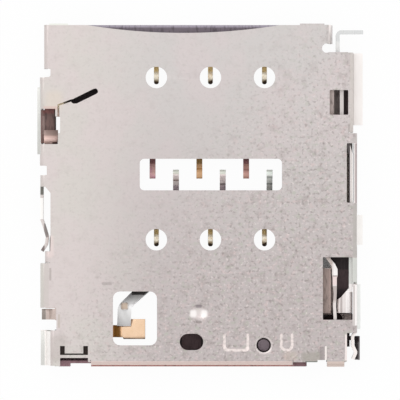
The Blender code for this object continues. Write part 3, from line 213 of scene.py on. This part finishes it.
def cover_steel():
    """Stainless spring steel with a matte nickel plate, rolled, blanked and folded: a soft warm grey that
    drifts between pink and green, with fine dark pits and painted glints, and brighter where it was coined."""
    finish = blank_finish("cover_matte_nickel_plated_steel", 0.92, 0.46)
    material, tree, shader, place, facing = finish
    parts = node(tree, "SeparateXYZ", {0: place}).node.outputs

    # Painted light and shade: the plate is palest at its left edge, and beyond it greyer from front to rear,
    # as the light falls
    patches = grain(tree, place, 2.2)
    left = laid(tree, "dad0ce", "d7d1cc", patches, 0.38, 0.62)
    front = laid(tree, "d5cccb", "d1ccca", patches, 0.38, 0.62)
    rest = laid(tree, front, "c3bab9", parts["Y"], 8.0 * MM, -7.0 * MM)
    colour = laid(tree, left, rest, parts["X"], -6.8 * MM, -1.2 * MM)
    # The real pits measure 0.02 mm and are drawn at 0.14 mm, so that they show. There are more on the right
    back = node(tree, "Math", {0: parts["Y"], 1: -0.8, 2: parts["X"]}, operation="MULTIPLY_ADD")
    limits = {"Value": back, "From Min": -3.0 * MM, "From Max": 4.0 * MM, "To Min": 0.10, "To Max": 0.55}
    many = node(tree, "MapRange", limits)
    cloud = grain(tree, place, 0.42, 3.0, 0.6)
    colour = laid(tree, colour, "a89e9b", cloud, 0.48, 0.75, many)
    # Another stretch of the noise, so that the mottle and the glints don't follow the cloud and the pits
    shifted = node(tree, "VectorMath", {0: place, 1: (0.03, 0.02, 0.01)}, operation="ADD")
    mottle = grain(tree, shifted, (0.30, 0.22, 0.30), 2.0, 0.6)
    colour = laid(tree, colour, "b9bcae", mottle, 0.46, 0.30, many)
    colour = laid(tree, colour, "d6c3c1", mottle, 0.54, 0.70, many)
    pits = grain(tree, place, 0.14, 2.0)
    colour = laid(tree, colour, "8a7f7d", pits, 0.52, 0.72, many)
    # Painted glints: pale specks over the plate
    glints = grain(tree, shifted, 0.12, 2.0)
    colour = laid(tree, colour, "ece2df", glints, 0.54, 0.76, many)
    # Painted shade: the plate turns greyer on the bends, as they tilt away from the light
    colour = laid(tree, colour, "c4bab7", facing["Z"], 0.98, 0.85, 0.3)
    # The feet lie lowest: their pale colour is partly their tin and partly painted light
    feet = node(tree, "Math", {0: parts["Z"], 1: FOOT_LEVEL}, operation="LESS_THAN")
    colour = laid(tree, colour, "f3f1ed", feet, 0.0, 1.0, 0.50)
    # The marks are on the top, the bends and the leaning walls, and not on the upright walls
    colour = laid(tree, colour, marked(tree, place, colour, COVER_MARKS), facing["Z"], 0.02, 0.10)

    # The coined lines lie at a height of their own
    upward = node(tree, "MapRange", {"Value": facing["Z"], "From Min": 0.9, "From Max": 0.99})
    coined = node(tree, "Math", {0: parts["Z"], 1: COIN_LEVEL, 2: LEVEL_REACH}, operation="COMPARE")
    wear = {"Value": pits, "From Min": 0.35, "From Max": 0.65, "To Min": 1.0, "To Max": 0.55}
    worn = node(tree, "MapRange", wear)
    upward = node(tree, "Math", {0: upward, 1: worn}, operation="MULTIPLY")
    colour = laid(tree, colour, "f8ece8", coined, 0.0, 1.0, upward)

    # The plate is duller on the walls, where the tools didn't burnish it
    burnish = {"Value": facing["Z"], "From Min": 0.25, "From Max": 0.80, "To Min": 0.45, "To Max": 0.92}
    tree.links.new(node(tree, "MapRange", burnish), shader.inputs["Metallic"])

    # Sheared faces inside the openings: bare steel, dragged along the punch's stroke
    drag = grain(tree, place, (0.03, 0.03, 0.5))
    upright = node(tree, "Math", {0: facing["Z"]}, operation="ABSOLUTE")
    share = node(tree, "MapRange", {"Value": drag, "From Min": 0.35, "From Max": 0.65, "To Max": 0.3})
    inside = within(tree, place, (-6.95, 6.95, -7.75, 7.85))
    inner = node(tree, "Math", {0: share, 1: inside}, operation="MULTIPLY")
    colour = laid(tree, colour, "b8adaa", upright, 0.5, 0.2, inner)
    relief = node(tree, "Math", {0: pits, 1: -1.0, 2: grain(tree, place, 0.05)}, operation="MULTIPLY_ADD")
    finished(tree, shader, colour, (cloud, 0.36, 0.48), relief, 0.002)
    return material


# Places on the frame with painted light, paler than its near-black plastic where it faces the light or a
# window, and painted shade that the light misses
FRAME_MARKS = (
    # The front sill, seen in the cover's arc: painted light, and painted shade under the cover's edge
    ((-5.6, 4.0, 7.40, 8.10), 0.04, "aea5b3", 0.90),
    ((-5.6, 4.0, 7.40, 7.84), 0.10, "70646b", 0.70),
    # Under the side window and the bent lance: painted light, with painted shade along the window's right
    # edge
    ((-7.55, -6.72, 2.40, 4.10), 0.05, "9c7d76", 0.65),
    ((-7.30, -6.90, 3.95, 4.10), 0.20, "a0605c", 0.60),
    ((-7.40, -7.33, 2.90, 3.70), 0.05, "a9928d", 0.60),
    ((-6.84, -6.76, 2.40, 4.00), 0.04, "241817", 0.80),
    ((-6.75, -6.28, 4.00, 4.48), 0.06, "fff0d0", 1.00),
    ((-6.75, -6.50, 3.50, 3.98), 0.06, "ffe0cf", 1.00),
    # Beside the push rod, in its small window, the long slot and the rear window: painted light, with
    # painted shade in two dark patches
    ((7.05, 7.20, 2.10, 2.45), 0.02, "f5eeea", 0.90),
    ((6.05, 6.60, 3.60, 5.10), 0.10, "c3b5af", 0.80),
    ((6.75, 7.00, 3.60, 5.10), 0.03, "67575a", 0.90),
    ((6.85, 7.06, -0.40, 2.50), 0.02, "fff0e0", 1.00),
    ((5.60, 6.20, -5.60, -3.40), 0.05, "c4afa7", 0.85),
    ((5.60, 6.16, -3.42, -2.90), 0.02, "ffffff", 1.00),
    ((6.12, 6.24, -5.40, -3.40), 0.04, "e3ccc4", 0.90),
    ((7.00, 7.20, -5.56, -4.20), 0.02, "ffffff", 1.00),
    ((6.45, 6.90, -4.30, -3.60), 0.20, "5f4a4c", 0.60),
    ((6.45, 7.10, -5.90, -5.60), 0.05, "d9c8c2", 0.90),
    # Under the stadium-shaped hole, and along the rear edge: painted light, and a near-black patch at the
    # rear left
    ((-0.80, 0.00, -7.20, -6.60), 0.10, "6f5759", 0.80),
    ((-5.2, 4.4, -8.10, -7.93), 0.03, "cf9891", 0.90),
    ((4.35, 5.10, -8.10, -7.80), 0.03, "9a767b", 0.80),
    ((-6.60, -5.10, -8.10, -7.68), 0.04, "b28a92", 0.70),
    ((7.30, 7.60, -7.80, -7.00), 0.20, "777374", 0.60),
    ((-6.64, -5.20, -7.60, -7.00), 0.03, "2a1c12", 0.90),
)


def frame_black():
    """Glass-filled liquid crystal polymer, injection moulded: a near-black brown with a dull sheen, faint
    flow streaks along the pull, and paler with painted light where it faces the light or a window."""
    finish = blank_finish("frame_moulded_glass_filled_polymer", 0.0, 0.5, 1.38)
    material, tree, shader, place, facing = finish
    streaks = grain(tree, place, (0.10, 1.6, 0.4), 3.0, 0.6)
    colour = laid(tree, "2a1e20", "43363a", streaks, 0.34, 0.68)
    # Painted light where it faces up: the moulded walls stay near black
    colour = laid(tree, colour, marked(tree, place, colour, FRAME_MARKS), facing["Z"], 0.2, 0.5)
    mottle = grain(tree, place, (0.12, 0.5, 0.4), 3.0, 0.6)
    colour = laid(tree, colour, "2a1e20", mottle, 0.48, 0.72, 0.5)
    finished(tree, shader, colour, (streaks, 0.45, 0.6), grain(tree, place, 0.04), 0.004)
    return material


def contact_gold():
    """Gold over nickel on a bronze strip, stamped and bent: pale yellow with painted light on the crown,
    grey-brown lower down on the beam, and near black with painted shade at the tip, where the strip turns
    down and away from the light."""
    finish = blank_finish("sim_contact_gold_plated_bronze", 0.2, 0.3)
    material, tree, shader, place, facing = finish
    parts = node(tree, "SeparateXYZ", {0: place}).node.outputs
    dust = grain(tree, place, 0.12)
    # Painted light: paler on the crown, the highest part of the strip
    colour = laid(tree, "ffdf9a", "fff5e0", parts["Z"], 0.84 * MM, 0.97 * MM)
    colour = laid(tree, colour, "cf9f4c", dust, 0.46, 0.70, 0.5)
    # Painted shade: near black where the tip turns down, away from the light
    colour = laid(tree, colour, "4a3a2e", facing["Y"], -0.38, -0.50)
    finished(tree, shader, colour, (dust, 0.24, 0.34), grain(tree, place, (0.02, 0.3, 0.3)), 0.001)
    return material


# Bands on the memory contacts of the front and the rear row, and on the side spring: painted shade at the
# roots and on the bends, painted light on the rear row, and painted shade where the side spring meets the
# cover's edge
FRONT_ROW_MARKS = (
    ((-0.6, 0.6, 0.70, 1.80), 0.20, "d2a675", 0.90),
    ((1.6, 2.8, 0.70, 1.45), 0.20, "b98a78", 0.70),
    ((-2.6, 4.2, 1.50, 1.80), 0.05, "96686a", 0.95),
    ((-0.4, 0.4, 1.50, 1.80), 0.05, "a6854e", 0.95),
    ((-0.4, 0.4, 1.22, 1.26), 0.05, "a9743f", 0.70),
    ((1.6, 2.8, 1.18, 1.22), 0.05, "8a5f58", 0.70),
)
REAR_ROW_MARKS = (
    ((-2.6, 4.2, 1.02, 1.20), 0.08, "d8ddd1", 0.90),
    ((2.6, 4.2, 0.20, 1.20), 0.20, "e6efe9", 0.70),
    ((-1.6, -0.4, 0.68, 0.72), 0.04, "a48d86", 0.90),
    ((0.4, 1.6, 0.50, 0.54), 0.04, "8a797b", 0.90),
    ((2.6, 4.2, 0.84, 0.86), 0.04, "9aa39e", 0.80),
    ((2.6, 4.2, 0.52, 0.56), 0.04, "8a938e", 0.80),
    ((-2.6, 1.6, 0.20, 0.44), 0.06, "d6c2ca", 0.90),
)
SIDE_SPRING_MARKS = (
    ((-7.4, -6.6, 2.40, 4.10), 0.02, "eccbc2", 1.00),
    ((-7.4, -6.6, 2.88, 3.10), 0.15, "b79f98", 0.90),
    ((-6.90, -6.6, 2.40, 2.48), 0.06, "5e3c36", 0.90),
)


def memory_bronze():
    """Phosphor bronze strip with a thin flash of gold, stamped: pink-brown to orange-brown in the front row
    and a pale grey-pink of painted light in the rear one, with painted shade in dark maroon at the root and
    in a darker band on the bend."""
    finish = blank_finish("memory_contact_flashed_bronze", 0.2, 0.34)
    material, tree, shader, place, facing = finish
    parts = node(tree, "SeparateXYZ", {0: place}).node.outputs
    tone = grain(tree, place, (0.5, 0.5, 40.0), 1.0)
    front = marked(tree, place, laid(tree, "c08f99", "c9a09a", tone, 0.40, 0.60), FRONT_ROW_MARKS)
    rear = marked(tree, place, laid(tree, "fff3f0", "f3e4e2", tone, 0.40, 0.60), REAR_ROW_MARKS)

    # The rows alternate along X, so a wave of twice the pitch tells the rear row's strips from the front's
    along = {0: parts["X"], 1: math.pi / MEMORY_PITCH, 2: ROWS_PHASE}
    turns = node(tree, "Math", along, operation="MULTIPLY_ADD")
    wave = node(tree, "Math", {0: turns}, operation="SINE")
    # Painted light makes the rear row paler than the front one
    colour = laid(tree, front, rear, wave, -0.2, 0.2)
    # The side spring's pink tone, with painted shade on a band and where it meets the cover's edge
    colour = marked(tree, place, colour, SIDE_SPRING_MARKS)
    bands = grain(tree, place, (3.0, 0.16, 3.0), 1.0)
    colour = laid(tree, colour, "9a7566", bands, 0.52, 0.70, 0.2)
    finished(tree, shader, colour, (bands, 0.24, 0.36), grain(tree, place, (0.02, 0.3, 0.3)), 0.001)
    return material


def switch_gold():
    """Gold-plated bronze sheet, stamped and formed: a smooth peach face, and a dull orange-brown on the bend
    that drops away to the root."""
    finish = blank_finish("switch_pad_gold_plated_bronze", 1.0, 0.3)
    material, tree, shader, place, facing = finish
    cloud = grain(tree, place, 0.35)
    colour = laid(tree, "f5d3b3", "efcba6", cloud, 0.35, 0.75, 0.5)
    inward = node(tree, "SeparateXYZ", {0: place}).node.outputs["X"]
    colour = laid(tree, colour, "f3ad5c", inward, -3.62 * MM, -3.86 * MM)
    bright = node(tree, "MapRange", {"Value": inward, "From Min": -3.86 * MM, "From Max": -3.66 * MM})
    tree.links.new(bright, shader.inputs["Metallic"])
    finished(tree, shader, colour, (cloud, 0.16, 0.26), grain(tree, place, 0.03), 0.0005)
    return material


# Painted light on the switch leaf, the button's grey-brown, painted shade at the switch leaf's root, in the
# latch's crease and along its left edge, the latch's grey stretch, the hook, and the rod's strip with
# painted shade on its bend
SPRING_MARKS = (
    ((-4.20, -2.00, -7.20, -4.50), 0.02, "ffffff", 0.90),
    ((-3.64, -3.46, -5.30, -5.12), 0.14, "c6b09c", 0.95),
    ((-3.20, -2.20, -4.68, -4.50), 0.03, "4f4a49", 0.90),
    ((6.10, 6.50, -3.84, -3.78), 0.02, "7f7471", 0.80),
    ((5.95, 6.15, -3.15, -2.85), 0.18, "b9a9a2", 0.80),
    ((6.20, 6.50, -4.20, -3.84), 0.05, "ecd6d3", 0.80),
    ((6.20, 6.50, -5.00, -4.30), 0.10, "b5a8a3", 0.85),
    ((6.20, 6.50, -6.00, -5.00), 0.10, "e0d6d2", 0.70),
    ((6.30, 7.80, 7.20, 8.00), 0.05, "d6d8d8", 0.90),
    ((6.30, 7.80, 6.60, 7.20), 0.05, "e6e6e5", 0.90),
    ((6.50, 7.20, 2.80, 5.50), 0.05, "cfc6c4", 0.80),
    ((6.80, 7.04, -0.40, 2.60), 0.02, "43393a", 0.95),
    ((7.10, 7.30, -0.40, 2.60), 0.05, "efe8e4", 0.80),
    ((6.90, 7.30, -4.14, -2.60), 0.05, "d9dbd6", 0.85),
    ((6.50, 6.80, -5.60, -4.40), 0.10, "e2d9d6", 0.70),
    ((6.61, 6.67, -5.53, -4.75), 0.04, "b4a9a6", 0.85),
    ((6.10, 6.20, -3.80, -3.20), 0.06, "bfaea7", 0.70),
)


def spring_steel():
    """Cold-rolled spring steel, bright, blanked and bent: near white where it faces the light, with fine
    lines along the strip and grey tarnish in patches. The switch's button is grey-brown, and the switch leaf
    is painted white with painted light."""
    finish = blank_finish("springs_bright_rolled_steel", 0.25, 0.34)
    material, tree, shader, place, facing = finish
    lines = grain(tree, place, (0.05, 1.2, 0.03))
    colour = laid(tree, "fffaf8", "ece5e3", lines, 0.42, 0.70)
    colour = laid(tree, colour, "c5bcb9", grain(tree, place, 0.5, 3.0, 0.6), 0.58, 0.78, 0.3)
    # The marks lay painted light on the switch leaf, and painted shade at its root, in the latch's crease
    # and on the rod's bend
    colour = marked(tree, place, colour, SPRING_MARKS)
    # The switch leaf is brushed matt
    bright = {"Value": within(tree, place, (-4.20, -2.00, -7.20, -4.40)), "To Min": 0.25, "To Max": 0.0}
    tree.links.new(node(tree, "MapRange", bright), shader.inputs["Metallic"])
    finished(tree, shader, colour, (lines, 0.18, 0.30), lines, 0.0005)
    return material


def lever_steel():
    """Stainless plate, fine-blanked and tumbled: a satin mid grey with a slight purple cast, and painted
    shade near black at the end of its arm, where it meets the push rod."""
    finish = blank_finish("lever_tumbled_stainless_steel", 1.0, 0.38)
    material, tree, shader, place, facing = finish
    cloud = grain(tree, place, 0.25, 3.0, 0.6)
    colour = laid(tree, "73686d", "554b50", cloud, 0.35, 0.7)
    sideways = node(tree, "SeparateXYZ", {0: place}).node.outputs["X"]
    # Painted shade: near black at the arm's end, under the cover by the push rod
    colour = laid(tree, colour, "1c1515", sideways, 5.4 * MM, 5.7 * MM)
    finished(tree, shader, colour, (cloud, 0.32, 0.46), grain(tree, place, 0.03), 0.001)
    return material


# Each slot's finish, and the width of the broken edge on its pieces in millimetres
FINISHES = {
    "cover_steel": (cover_steel(), 0.018),
    "frame_black": (frame_black(), 0.025),
    "contact_gold": (contact_gold(), 0.012),
    "memory_bronze": (memory_bronze(), 0.012),
    "switch_gold": (switch_gold(), 0.012),
    "spring_steel": (spring_steel(), 0.015),
    "lever_steel": (lever_steel(), 0.020),
}


def dress(piece, finish, edge_break):
    """Gives a CAD node its finish and breaks its sharp edges."""
    piece.data.materials.clear()
    piece.data.materials.append(finish)
    weld = piece.modifiers.new("weld", "WELD")
    weld.merge_threshold = WELD_REACH
    clean = piece.modifiers.new("flat faces", "DECIMATE")
    clean.decimate_type = "DISSOLVE"
    clean.angle_limit = FLAT_SEAM
    edge = piece.modifiers.new("broken edges", "BEVEL")
    edge.width = edge_break * MM
    edge.segments = 2
    edge.limit_method = "ANGLE"
    edge.angle_limit = SHARP_EDGE
    edge.face_strength_mode = "FSTR_ALL"
    normals = piece.modifiers.new("normals", "WEIGHTED_NORMAL")
    normals.use_face_influence = True
    normals.keep_sharp = False


def dress_all():
    """Every CAD node gets the finish of its own slot in the record."""
    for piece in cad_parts.values():
        slot = piece.material_slots[0].material.name
        dress(piece, *next(FINISHES[name] for name in FINISHES if slot.startswith(name)))


def white_floor():
    """A white table that the camera and shiny metal see as white, and that still takes a soft shadow."""
    mesh = bpy.data.meshes.new("floor")
    corners = ((-1, -1), (1, -1), (1, 1), (-1, 1))
    mesh.from_pydata([(x * TABLE_REACH, y * TABLE_REACH, 0) for x, y in corners], [], [(0, 1, 2, 3)])
    floor = bpy.data.objects.new("floor", mesh)
    bpy.context.scene.collection.objects.link(floor)
    material = bpy.data.materials.new("floor_white_paper")
    material.use_nodes = True
    tree = material.node_tree
    tree.nodes.remove(tree.nodes["Principled BSDF"])
    paper = node(tree, "BsdfDiffuse", {"Color": "f2f2f2"})
    glow = node(tree, "Emission", {"Color": "ffffff", "Strength": 1.0})
    rays = node(tree, "LightPath", {}).node.outputs
    seen = node(tree, "Math", {0: rays["Is Camera Ray"], 1: rays["Is Glossy Ray"]}, operation="MAXIMUM")
    seen = node(tree, "Math", {0: seen, 1: rays["Is Transmission Ray"]}, operation="MAXIMUM")
    share = node(tree, "Math", {0: seen, 1: TABLE_WHITE}, operation="MULTIPLY")
    both = node(tree, "MixShader", {0: share, 1: paper, 2: glow})
    tree.links.new(both, tree.nodes["Material Output"].inputs["Surface"])
    mesh.materials.append(material)


def studio_light():
    """A light tent with bright panels at the left and right and darker ends, and a soft lamp at the front
    left."""
    world = bpy.data.worlds.new("tent")
    bpy.context.scene.world = world
    world.use_nodes = True
    tree = world.node_tree
    towards = node(tree, "SeparateXYZ", {0: node(tree, "TexCoord", {}, "Generated")}).node.outputs
    sideways = node(tree, "Math", {0: towards["X"]}, operation="ABSOLUTE")
    panels = {"Value": sideways, "From Min": 0.35, "From Max": 0.85, "To Min": TENT_END, "To Max": TENT_SIDE}
    side = node(tree, "MapRange", panels, interpolation_type="SMOOTHSTEP")
    roof = {"Value": towards["Z"], "From Min": 0.35, "From Max": 0.80, "To Min": side, "To Max": 1.0}
    level = node(tree, "MapRange", roof, interpolation_type="SMOOTHSTEP")
    seen = node(tree, "LightPath", {}, "Is Camera Ray")
    level = node(tree, "Mix", {0: seen, 2: level, 3: 1.0}, data_type="FLOAT")
    background = tree.nodes["Background"]
    background.inputs["Color"].default_value = linear("ffffff")
    tree.links.new(level, background.inputs["Strength"])

    lamp = bpy.data.lights.new("soft_lamp", "AREA")
    lamp.shape = "SQUARE"
    lamp.size = LAMP_SIZE
    lamp.energy = LAMP_POWER
    holder = bpy.data.objects.new("soft_lamp", lamp)
    bpy.context.scene.collection.objects.link(holder)
    holder.location = LAMP_PLACE
    holder.rotation_euler = Vector(holder.location).to_track_quat("Z", "Y").to_euler()


def top_camera():
    """The photograph's straight top view, with the socket's front at the top of the picture."""
    camera = bpy.data.cameras.new("camera")
    camera.sensor_width = SENSOR
    camera.lens = SENSOR * CAMERA_DISTANCE / VIEW_WIDTH
    camera.clip_start = 0.005
    holder = bpy.data.objects.new("camera", camera)
    bpy.context.scene.collection.objects.link(holder)
    holder.location = (0, VIEW_MIDDLE_Y, COVER_TOP + CAMERA_DISTANCE)
    bpy.context.scene.camera = holder


dress_all()
white_floor()
studio_light()
top_camera()
bpy.context.scene.view_settings.view_transform = "Standard"
